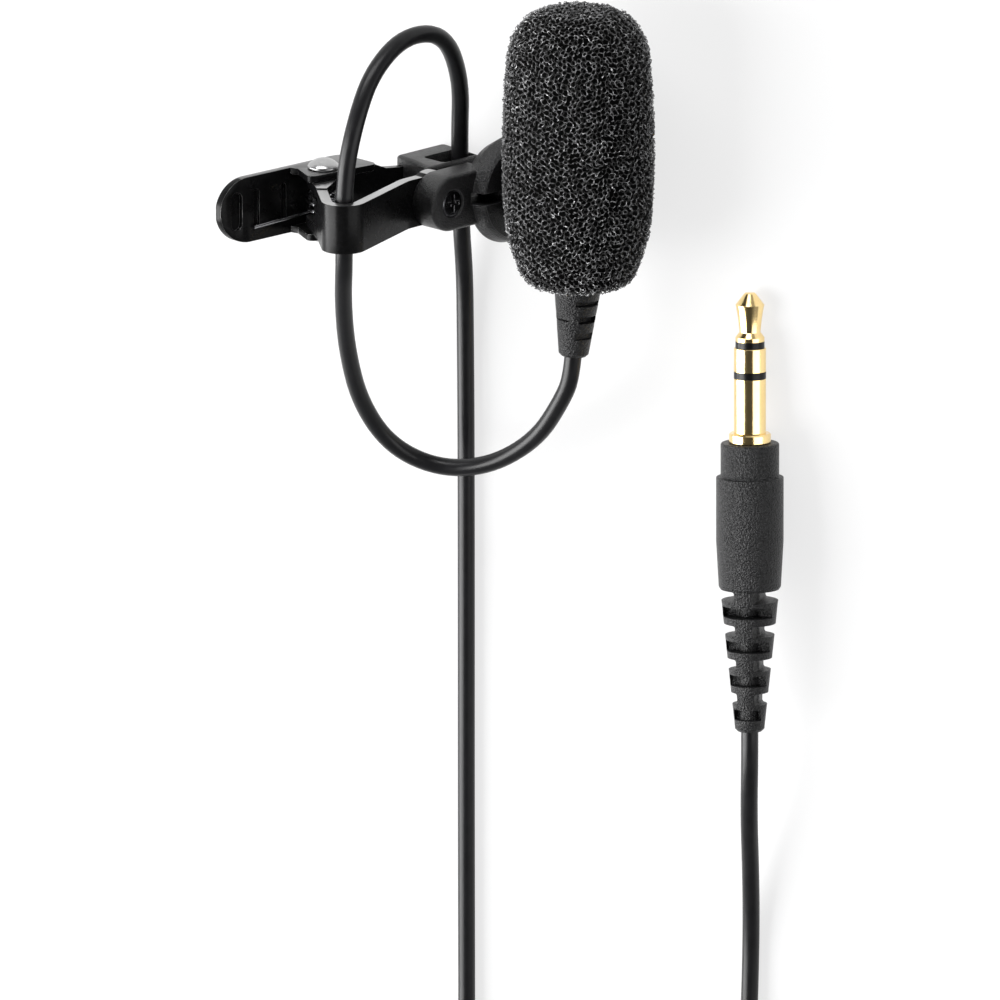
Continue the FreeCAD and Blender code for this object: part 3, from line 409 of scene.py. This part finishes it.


# %% [markdown]
# The cord's stretches
#
# Three stretches lead from one moving body to the next, so each blends between the two. They meet
# end to end, and the length of each is printed. The rest of the cord, with
# the coil, rides on the rear half of the clip as one curve and ends in the plug.

# %% The three stretches that bend, and the long one
STRETCHES = (
    ("loop_low", LOOP_LOW, 0.030, "cord_loop_low", ("microphone", "holder")),
    ("loop_left", LOOP_LEFT, 0.036, "cord_loop_left", ("holder", "front_half")),
    ("upper_arc", UPPER_ARC, 0.048, "cord_upper_arc", ("front_half", "rear_half")),
)
for name, points, length, node, bodies in STRETCHES:
    stretch, line = tube(name, points)
    dress(stretch, jacket)
    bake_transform(stretch, *bodies, start=line[0], end=line[-1])
    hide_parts(node)
    print(name, round(length_of(line) / MM, 1), "mm")

long_cord = dress(nurbs("long_cord", LONG_CORD, CORD / 2), jacket)
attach(long_cord, "rear_half")
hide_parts("cord_main", "cord_coil", "cord_plug_lead")
long_line = centreline(LONG_CORD)
print("long cord", round(length_of(long_line) / MM, 1), "mm")

# %% [markdown]
# Black finishes
#
# Nearly everything here is black, so the pieces differ in gloss and grain, not in colour. Painted
# steel is smooth with a faint orange peel, moulded plastic has the fine grain of a spark-eroded
# mould, and rubber is coarser and duller. One function makes them all: a slow cloud varies the
# colour and the gloss, and a fine noise is the grain, with its size and depth in millimetres.

# %% Black finishes


def black(name, dark, light, roughness, grain, depth, shine):
    """A black from dark to light, with a grain in millimetres and a share of reflection."""
    finish = Finish(name)
    cloud = finish.noise(700.0, 4.0)
    fine = finish.noise(1.0 / (grain * MM), 2.0)
    speck = fine.above(0.35, 0.7)
    tint = cloud * 0.4 + speck * 0.6
    finish.set(
        Base_Color=finish.colours(tint, (dark, dark, dark * 1.04), (light, light, light * 1.05)),
        Roughness=cloud * 0.14 + (roughness - 0.07),
        Specular_IOR_Level=shine,
    )
    finish.bump(fine, depth * MM, 0.8)
    return finish.material


paint = black("painted_steel", 0.003, 0.005, 0.28, 0.5, 0.01, 0.09)
# The two edge blacks are lighter than the face blacks, for the rounded faces: partly wear, partly a painted
# highlight.
paint_edge_wear_and_highlight = black("painted_edge_worn_and_lit", 0.02, 0.04, 0.3, 0.3, 0.006, 1.0)
moulding = black("moulded_plastic", 0.004, 0.016, 0.38, 0.16, 0.16, 0.5)
moulding_edge_wear_and_highlight = black("moulded_edge_worn_and_lit", 0.03, 0.07, 0.36, 0.16, 0.1, 1.0)
grip_black = black("grip_plastic", 0.001, 0.022, 0.36, 0.2, 0.4, 0.3)
rubber = black("relief_rubber", 0.001, 0.018, 0.38, 0.2, 0.32, 0.3)
gloss = black("insulator", 0.003, 0.004, 0.3, 0.3, 0.004, 0.2)
strap_fibre = black("strap_fibre", 0.004, 0.02, 0.75, 0.25, 0.25, 0.3)
print("black finishes", 8)

# %% [markdown]
# Metals
#
# A metal has no colour of its own but that of its reflections, so its roughness does the work. The
# gold contacts are turned, which leaves rings round their axis: a noise that varies only along the
# plug's axis, so the coordinates are first turned into the plug's own frame.

# %% Metals
PLUG_PLACE = Vector((31.48, -28.47, 3.103)) * MM
PLUG_WAY = Vector((-0.034344, 0.993405, -0.109390))
MIC_PLACE = Vector((14.225, -2.609, 10.329)) * MM
MIC_WAY = Vector((0.0, 1.0, 0.0))
RING_DEEP = 0.002 * MM


def metal(name, low, high, roughness, place, way, ring=0.05):
    """A turned metal, with rings of that many millimetres round the line at place along way."""
    finish = Finish(name)
    turn = way.to_track_quat("Z", "Y").to_matrix()
    along = finish.node("ShaderNodeSeparateXYZ", {}, [finish.turned_place(place, turn)], 2)
    rings = finish.node(
        "ShaderNodeTexNoise", {"noise_dimensions": "1D"},
        {"W": along, "Scale": 0.5 / (ring * MM), "Detail": 2.0},
    )
    cloud = finish.noise(500.0, 3.0)
    finish.set(
        Base_Color=finish.colours(cloud, low, high),
        Metallic=1.0,
        Roughness=rings * 0.08 + cloud * 0.05 + (roughness - 0.06),
    )
    finish.bump(rings, RING_DEEP, 0.5)
    return finish.material


def on_axis(name, low, high, roughness, ring=0.05):
    """A grey metal whose rings lie round the microphone's axis."""
    return metal(name, low, high, roughness, MIC_PLACE, MIC_WAY, ring)


gold = metal("gold_contact", (0.93, 0.66, 0.27), (1.0, 0.8, 0.42), 0.16, PLUG_PLACE, PLUG_WAY)
steel = on_axis("bright_steel", (0.2, 0.2, 0.21), (0.34, 0.34, 0.35), 0.2)
dark_steel = on_axis("dark_steel", (0.03, 0.03, 0.032), (0.07, 0.07, 0.075), 0.24)
ear_steel = on_axis("ear_steel", (0.1, 0.1, 0.1), (0.16, 0.16, 0.16), 0.3, 0.2)
worn_edge = on_axis("worn_edge", (0.34, 0.34, 0.34), (0.5, 0.5, 0.5), 0.42, 0.2)
bare_edge = on_axis("bare_edge", (0.36, 0.36, 0.36), (0.5, 0.5, 0.5), 0.28, 0.2)
housing = on_axis("housing_metal", (0.1, 0.1, 0.11), (0.16, 0.16, 0.17), 0.35)
tin = on_axis("capsule_metal", (0.5, 0.5, 0.5), (0.62, 0.62, 0.61), 0.3)
print("metals", 8)

# %% [markdown]
# Pieces that keep their shape
#
# The plug's contacts and the inside of the microphone are turned or stamped parts, and their CAD
# shapes are complete. They need a finish and nothing more. The small board behind the capsule is
# glass fibre under green lacquer, which a fine noise in the green is enough for.

# %% Circuit board


def board_finish():
    finish = Finish("board")
    glass = finish.noise(5000.0, 2.0)
    finish.set(
        Base_Color=finish.colours(glass, (0.005, 0.05, 0.025), (0.01, 0.09, 0.04)),
        Roughness=0.3 + glass * 0.1,
    )
    finish.bump(glass, 0.01 * MM, 0.5)
    return finish.material


# %% CAD nodes that keep their shape
KEPT = {
    "plug_tip": gold, "ring_contact": gold, "plug_sleeve": gold, "tip_insulator": gloss,
    "ring_insulator": gloss, "mic_housing": housing, "mic_grille": housing, "capsule": tin,
    "capsule_sleeve": rubber, "capsule_board": board_finish(),
}
for node, material in KEPT.items():
    for place in frame["nodes"][node].material_slots:
        place.material = material
print("nodes with a new finish", len(KEPT))

# %% [markdown]
# Softened edges
#
# A CAD edge is perfectly sharp, and a real one never is: moulding, bending and painting round it a
# little, and that is where a black object catches the light. The pieces could be drawn again, but
# their shapes are exact already. So each is a merged copy of its node, and a Bevel modifier rounds
# its edges. It also gives the rounded faces a material of their own. On the finger tray the paint
# wears off there and the steel shows through. On the arm and the moulded pieces the rounded faces
# are a lighter black than the faces, partly wear and partly a painted highlight.

# %% Softened copies
WELD, FLAT_ENOUGH = 0.001 * MM, math.radians(1.0)
ROUND_STEPS, SHARP = 3, math.radians(32.0)


def merged_copy(name, node):
    """A copy of a CAD node as one closed mesh with whole faces."""
    piece = bpy.data.objects.new(name, frame["nodes"][node].data.copy())
    scene.collection.objects.link(piece)
    only(piece)
    bpy.ops.object.mode_set(mode="EDIT")
    bpy.ops.mesh.select_all(action="SELECT")
    bpy.ops.mesh.remove_doubles(threshold=WELD)
    bpy.ops.mesh.dissolve_limited(angle_limit=FLAT_ENOUGH)
    bpy.ops.object.mode_set(mode="OBJECT")
    return piece


def settle_on(piece, node):
    """The piece rides where its node rides, and stands for it."""
    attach(piece, body_of(frame["nodes"][node])[0])
    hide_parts(node)


def softened(name, node, slot, width, material, edge):
    """A copy with rounded edges, that many millimetres wide and with a material of their own."""
    piece = merged_copy(name, node)
    dress(piece, material)
    piece.data.materials.append(edge)
    round_off = piece.modifiers.new("round_off", "BEVEL")
    round_off.limit_method = "ANGLE"
    round_off.angle_limit = SHARP
    round_off.width = width * MM
    round_off.segments = ROUND_STEPS
    round_off.material = 1
    bpy.ops.object.modifier_apply(modifier="round_off")
    bpy.ops.object.shade_smooth_by_angle(angle=SHARP)
    settle_on(piece, node)
    print(name, "faces", len(piece.data.polygons))
    return piece


# %% The rigid pieces
SOFTENED = (
    ("finger_tray", "rear_clip_half", "painted_steel", 0.18, paint, worn_edge),
    ("jaw", "rear_jaw_block", "textured_plastic", 0.14, moulding, moulding_edge_wear_and_highlight),
    ("arm_strip", "front_arm", "painted_steel", 0.13, paint, paint_edge_wear_and_highlight),
    ("holder_block", "mic_holder", "holder_plastic", 0.16, moulding, moulding_edge_wear_and_highlight),
    ("screw", "holder_screw", "bright_steel", 0.05, dark_steel, steel),
    ("rivet", "clip_rivet", "bright_steel", 0.1, bare_edge, bare_edge),
    ("collar", "mic_collar", "holder_plastic", 0.1, moulding, moulding_edge_wear_and_highlight),
    ("boot", "mic_boot", "relief_rubber", 0.1, rubber, rubber),
    ("grip", "plug_body", "grip_plastic", 0.12, grip_black, grip_black),
    ("relief", "plug_strain_relief", "relief_rubber", 0.12, rubber, rubber),
)
for row in SOFTENED:
    softened(*row)

# %% [markdown]
# The cut sides of the steel
#
# Strip steel is blackened on its faces. Its cut sides and the outsides of its ears, which lie
# across the rivet, are rubbed bright, and in the photograph they shine against the black. They
# are found by their normals, which point along the rivet, and get a metal of their own.

# %% Cut sides
LEAST_SIDE = 0.97


def rub_sides(piece, material):
    piece.data.materials.append(material)
    last = len(piece.data.materials) - 1
    for face in piece.data.polygons:
        if abs(face.normal.y) > LEAST_SIDE:
            face.material_index = last


rub_sides(bpy.data.objects["arm_strip"], bare_edge)
rub_sides(bpy.data.objects["finger_tray"], ear_steel)

# %% [markdown]
# The torsion spring
#
# The spring's one leg presses on the finger tray and its other on the front arm. When the clip
# opens, its coils wind up by turns. Blending a copy of it along the rivet's axis does just that:
# each coil turns by its share of the angle.

# %% Torsion spring
PIN = Vector((-12.659, -2.609, 15.596)) * MM
SPRING_REACH = 1.36 * MM
WIRE_CREASE = math.radians(60)


def make_spring():
    spring = dress(merged_copy("spring", "clip_spring"), steel)
    bpy.ops.object.shade_smooth_by_angle(angle=WIRE_CREASE)
    along = Vector((0, SPRING_REACH, 0))
    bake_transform(spring, "rear_half", "front_half", start=PIN - along, end=PIN + along)
    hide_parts("clip_spring")
    return spring


print("spring faces", len(make_spring().data.polygons))

# %% [markdown]
# The foam windscreen
#
# Open-cell foam is a net of thin strands with nothing between them. A bump on a smooth egg would
# look like felt, and its outline would stay smooth. So the outer half millimetre is modelled. The
# textbook foam has cells with six square and eight hexagonal faces, whose corners lie on a simple
# grid: one coordinate divides by four, one leaves two, and one is odd. The grid is tilted and
# warped, so that no rows show, and only the corners in a thin shell along the surface are kept.
# Each strand is a twisted sliver of four triangles, coloured darker the deeper it lies: painted
# shade. Under them lies a core that is painted nearly black, because light that goes so deep is
# lost, and the contrast makes the strands stand out.

# %% Foam grid
FOAM_CELL = 0.7 * MM
FOAM_TILT = Matrix.Rotation(0.43, 3, "X") @ Matrix.Rotation(0.61, 3, "Z")
SHELL_DEEP, SHELL_PROUD = 0.44 * MM, 0.12 * MM
NEAR_OUT, NEAR_IN = 0.5 * MM, 1.2 * MM
FOAM_BOTTOM, BOTTOM_END, TOP_END, FOAM_TOP = np.array((-9.2, -7.0, 17.0, 22.2)) * MM
STRAND, JITTER, PROUD_LEAST = 0.062 * MM, 0.03 * MM, -0.04 * MM
windscreen = frame["nodes"]["windscreen"]


def foam_corners(low, high):
    """Which points of an even grid are corners of foam cells, and where they lie."""
    rest = np.indices((4, 4, 4)).transpose(1, 2, 3, 0)
    corner = (np.sort(np.where(rest % 2 == 1, 1, rest), axis=3) == (0, 1, 2)).all(axis=3)
    tilt = np.array(FOAM_TILT)
    half = np.abs(tilt.T) @ ((high - low) / 2) + FOAM_CELL
    cells = np.ceil(2 * half / FOAM_CELL).astype(int)
    spots = np.argwhere(np.tile(corner, tuple(cells)))
    flat = (spots - cells * 2) * (FOAM_CELL / 4)
    return spots, flat @ tilt.T + (low + high) / 2, cells * 4


def near_profile(points):
    """Points within a millimetre of the windscreen's outside, by its widest outline."""
    away = points - np.array(MIC_PLACE)
    out = np.hypot(away[:, 0], away[:, 2])
    at = np.array((-8.8, -7.2, -5.7, -4.0, -2.3, 1.0, 8.5, 14.0, 16.1, 19.6, 20.9, 21.8)) * MM
    wide = np.array((4.8, 6.35, 7.0, 7.45, 7.8, 8.1, 8.2, 7.98, 7.75, 6.75, 5.6, 3.2)) * MM
    limit = np.interp(away[:, 1], at, wide)
    inside = (away[:, 1] > FOAM_BOTTOM) & (away[:, 1] < FOAM_TOP) & (out < limit + NEAR_OUT)
    ends = (away[:, 1] < BOTTOM_END) | (away[:, 1] > TOP_END)
    return inside & (ends | (out > limit - NEAR_IN))


def warped(points):
    """Slow waves in three directions, which bend the grid's rows."""
    waves = points[:, [1, 2, 0]] * (2300.0, 1900.0, 2100.0) + (0.3, 1.7, 4.1)
    quick = points[:, [2, 0, 1]] * (5200.0, 4700.0, 6100.0)
    return points + 0.16 * MM * np.sin(waves) + 0.05 * MM * np.sin(quick)


# %% Foam strands


def foam_strands(seed=11):
    """Ends of the strands, and how far out each end lies, from 0 to 1."""
    rng = np.random.default_rng(seed)
    low, high = (np.array(corner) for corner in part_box("windscreen"))
    spots, points, size = foam_corners(low, high)
    near = near_profile(points)
    spots, points = spots[near], warped(points[near])
    points += rng.normal(0.0, JITTER, points.shape)
    surface = BVHTree.FromObject(windscreen, bpy.context.evaluated_depsgraph_get())
    depth = np.empty(len(points))
    for i, point in enumerate(points):
        nearest, normal, _, gap = surface.find_nearest(point)
        depth[i] = -gap if (Vector(point) - nearest).dot(normal) < 0 else gap
    kept = (depth > -SHELL_DEEP) & (depth < rng.uniform(PROUD_LEAST, SHELL_PROUD, len(points)))
    spots, points, depth = spots[kept] + 1, points[kept], depth[kept]
    index = np.full(size + 2, -1, dtype=np.int32)
    index[tuple(spots.T)] = np.arange(len(spots))
    pairs = []
    for step in ((1, 1, 0), (1, -1, 0), (1, 0, 1), (1, 0, -1), (0, 1, 1), (0, 1, -1)):
        other = index[tuple((spots + step).T)]
        found = other >= 0
        pairs.append(np.stack((np.nonzero(found)[0], other[found]), axis=1))
    pairs = np.concatenate(pairs)
    rise = np.clip(1 + depth / SHELL_DEEP, 0, 1)
    return points, pairs, rise, rng


def strand_mesh():
    points, pairs, rise, rng = foam_strands()
    start, stop = points[pairs[:, 0]], points[pairs[:, 1]]
    way = stop - start
    way /= np.linalg.norm(way, axis=1, keepdims=True)
    side = np.cross(way, rng.normal(size=way.shape))
    side *= STRAND / np.linalg.norm(side, axis=1, keepdims=True)
    turned = np.cross(way, side)
    corners = np.stack((start + side, start - side, stop + turned, stop - turned), axis=1)
    first = np.arange(len(pairs))[:, None, None] * 4
    faces = first + np.array(((0, 1, 2), (0, 3, 1), (0, 2, 3), (1, 3, 2)))
    mesh = bpy.data.meshes.new("strands")
    mesh.from_pydata(corners.reshape(-1, 3).tolist(), [], faces.reshape(-1, 3).tolist())
    shades = mesh.attributes.new("rise", "FLOAT", "POINT")
    shades.data.foreach_set("value", np.repeat(rise[pairs], 2, axis=1).ravel())
    return mesh


# %% Foam finish


def foam_finish():
    """Glossy strands, with painted shade: their colour darkens with their depth."""
    finish = Finish("foam")
    rise = finish.node("ShaderNodeAttribute", {"attribute_name": "rise"}, {}, "Fac")
    cloud = finish.noise(2500.0, 2.0)
    # painted shade: the deeper a strand lies, the darker its colour
    out = rise.above(0.45, 1.0)
    bright = out * cloud.above(0.3, 0.6)
    finish.set(
        Base_Color=finish.colours(bright, (0.001, 0.001, 0.001), (0.23, 0.23, 0.235)),
        Roughness=out * -0.6 + 0.85,
        Specular_IOR_Level=1.0,
    )
    return finish.material


def core_finish():
    """The dark middle, where light is lost between the strands."""
    finish = Finish("foam_core")
    cloud = finish.noise(1400.0, 2.0)
    # painted shade: the core is coloured nearly black
    finish.set(
        Base_Color=finish.colours(cloud, (0.0005, 0.0005, 0.0005), (0.002, 0.002, 0.002)),
        Roughness=cloud * 0.1 + 0.9,
        Specular_IOR_Level=0.05,
    )
    return finish.material


# %% Windscreen
CORE_GRAIN, CORE_DEEP = 0.42 * MM, 0.4 * MM


def make_windscreen():
    core = merged_copy("foam_windscreen", "windscreen")
    grain = core.modifiers.new("grain", "REMESH")
    grain.mode = "VOXEL"
    grain.voxel_size = CORE_GRAIN
    sink = core.modifiers.new("sink", "DISPLACE")
    sink.mid_level = 0.0
    sink.strength = -CORE_DEEP
    for modifier in ("grain", "sink"):
        bpy.ops.object.modifier_apply(modifier=modifier)
    bpy.ops.object.shade_smooth()
    strands = bpy.data.objects.new("strands", strand_mesh())
    scene.collection.objects.link(strands)
    dress(core, core_finish())
    dress(strands, foam_finish())
    bpy.ops.object.select_all(action="DESELECT")
    strands.select_set(True)
    core.select_set(True)
    bpy.context.view_layer.objects.active = core
    bpy.ops.object.join()
    settle_on(core, "windscreen")
    return core


print("windscreen faces", len(make_windscreen().data.polygons))

# %% [markdown]
# The strap
#
# The put-away coil is held by a strap of hook-and-loop tape, wound round it and pressed on itself.
# The loop is the CAD node's shape with soft edges. The free end is a flat piece, extruded from a
# plane whose two far corners are rounded, and it lies on the loop's top.

# %% Strap
FLAP_PLACE = Vector((15.07, -127.6, 10.31)) * MM
FLAP_WIDE, FLAP_LONG, FLAP_THICK, FLAP_CORNER = 5.0, 8.4, 0.45, 1.3
STRAP_EDGE, STRAP_CREASE = 0.1 * MM, math.radians(35)


def make_flap():
    bpy.ops.object.select_all(action="DESELECT")
    bpy.ops.mesh.primitive_plane_add(size=1.0, location=FLAP_PLACE)
    flap = bpy.context.view_layer.objects.active
    flap.scale = (FLAP_WIDE * MM, FLAP_LONG * MM, 1.0)
    bpy.ops.object.transform_apply(location=True, rotation=False, scale=True)
    bpy.ops.object.mode_set(mode="EDIT")
    bpy.ops.mesh.select_all(action="DESELECT")
    shape = bmesh.from_edit_mesh(flap.data)
    bpy.context.tool_settings.mesh_select_mode = (True, False, False)
    for corner in shape.verts:
        corner.select_set(corner.co.y > FLAP_PLACE.y)
    bmesh.update_edit_mesh(flap.data)
    bpy.ops.mesh.bevel(offset=FLAP_CORNER * MM, segments=6, affect="VERTICES")
    bpy.ops.mesh.select_all(action="SELECT")
    bpy.ops.mesh.extrude_region_move(TRANSFORM_OT_translate={"value": (0, 0, FLAP_THICK * MM)})
    bpy.ops.mesh.select_all(action="SELECT")
    bpy.ops.mesh.normals_make_consistent(inside=False)
    bpy.ops.object.mode_set(mode="OBJECT")
    return flap


def make_strap():
    flap = make_flap()
    strap = merged_copy("strap", "coil_tie")
    dress(strap, strap_fibre)
    dress(flap, strap_fibre)
    flap.select_set(True)
    bpy.ops.object.join()
    round_off = strap.modifiers.new("round_off", "BEVEL")
    round_off.limit_method = "ANGLE"
    round_off.width = STRAP_EDGE
    round_off.segments = 2
    bpy.ops.object.modifier_apply(modifier="round_off")
    bpy.ops.object.shade_smooth_by_angle(angle=STRAP_CREASE)
    settle_on(strap, "coil_tie")
    return strap


print("strap faces", len(make_strap().data.polygons))

# %% [markdown]
# The floor and the lights
#
# A pale floor fills the picture. It keeps the object's faint shadow, and to the camera and to the
# reflections it is mostly its own white. Large soft lamps at the left, the right and the far side
# draw the long highlights that show what is satin and what is gloss on a black object.

# %% Floor
FLOOR_SIDE, FLOOR_GREY, OWN_WHITE = 4.0, 0.8, 0.72


def add_floor():
    bpy.ops.object.select_all(action="DESELECT")
    bpy.ops.mesh.primitive_plane_add(size=FLOOR_SIDE, location=(0, 0, 0))
    floor = bpy.context.view_layer.objects.active
    floor.name = "floor"
    finish = Finish("floor_paper")
    finish.set(
        Base_Color=(FLOOR_GREY, FLOOR_GREY, FLOOR_GREY, 1.0), Roughness=0.9, Specular_IOR_Level=0.1
    )
    rays = finish.node("ShaderNodeLightPath", {}, {}, "Is Camera Ray")
    glossy = finish.node("ShaderNodeLightPath", {}, {}, "Is Glossy Ray")
    through = finish.node("ShaderNodeLightPath", {}, {}, "Is Transmission Ray")
    seen = rays.math("MAXIMUM", glossy.math("MAXIMUM", through)) * OWN_WHITE
    white = finish.node("ShaderNodeEmission", {}, {"Color": (1, 1, 1, 1), "Strength": 1.0})
    paper = Link(finish.tree, finish.shader.outputs[0])
    mixed = finish.node("ShaderNodeMixShader", {}, [seen, paper, white])
    output = finish.tree.nodes["Material Output"]
    finish.tree.links.new(mixed.socket, output.inputs["Surface"])
    dress(floor, finish.material)


add_floor()

# %% Lamps
AIM = Vector((4.0, -20.0, 6.0)) * MM


def soft_lamp(name, place, width, tall, watts):
    lamp = bpy.data.lights.new(name, "AREA")
    lamp.shape = "RECTANGLE"
    lamp.size = width
    lamp.size_y = tall
    lamp.energy = watts
    holder = bpy.data.objects.new(name, lamp)
    scene.collection.objects.link(holder)
    holder.location = place
    holder.rotation_euler = (Vector(place) - AIM).to_track_quat("Z", "Y").to_euler()


soft_lamp("lamp_left", (-0.62, -0.14, 0.4), 0.45, 0.9, 17.0)
soft_lamp("lamp_right", (0.75, -0.1, 0.38), 0.3, 0.8, 2.0)
soft_lamp("lamp_far", (-0.1, 0.75, 0.42), 0.8, 0.3, 6.0)


def add_sky():
    """Pale at the horizon and darker overhead, so that gloss has something to show."""
    world = bpy.data.worlds.new("world")
    scene.world = world
    world.use_nodes = True
    tree = world.node_tree
    way = node_in(tree, "ShaderNodeTexCoord", {}, {}, "Generated")
    overhead = node_in(tree, "ShaderNodeSeparateXYZ", {}, [way], 2).above(0.3, 0.9)
    tint = node_in(
        tree, "ShaderNodeMix", {"data_type": "RGBA"},
        {"Factor": overhead, 6: (0.34, 0.34, 0.35, 1.0), 7: (0.06, 0.06, 0.06, 1.0)}, 2,
    )
    tree.links.new(tint.socket, tree.nodes["Background"].inputs["Color"])


add_sky()
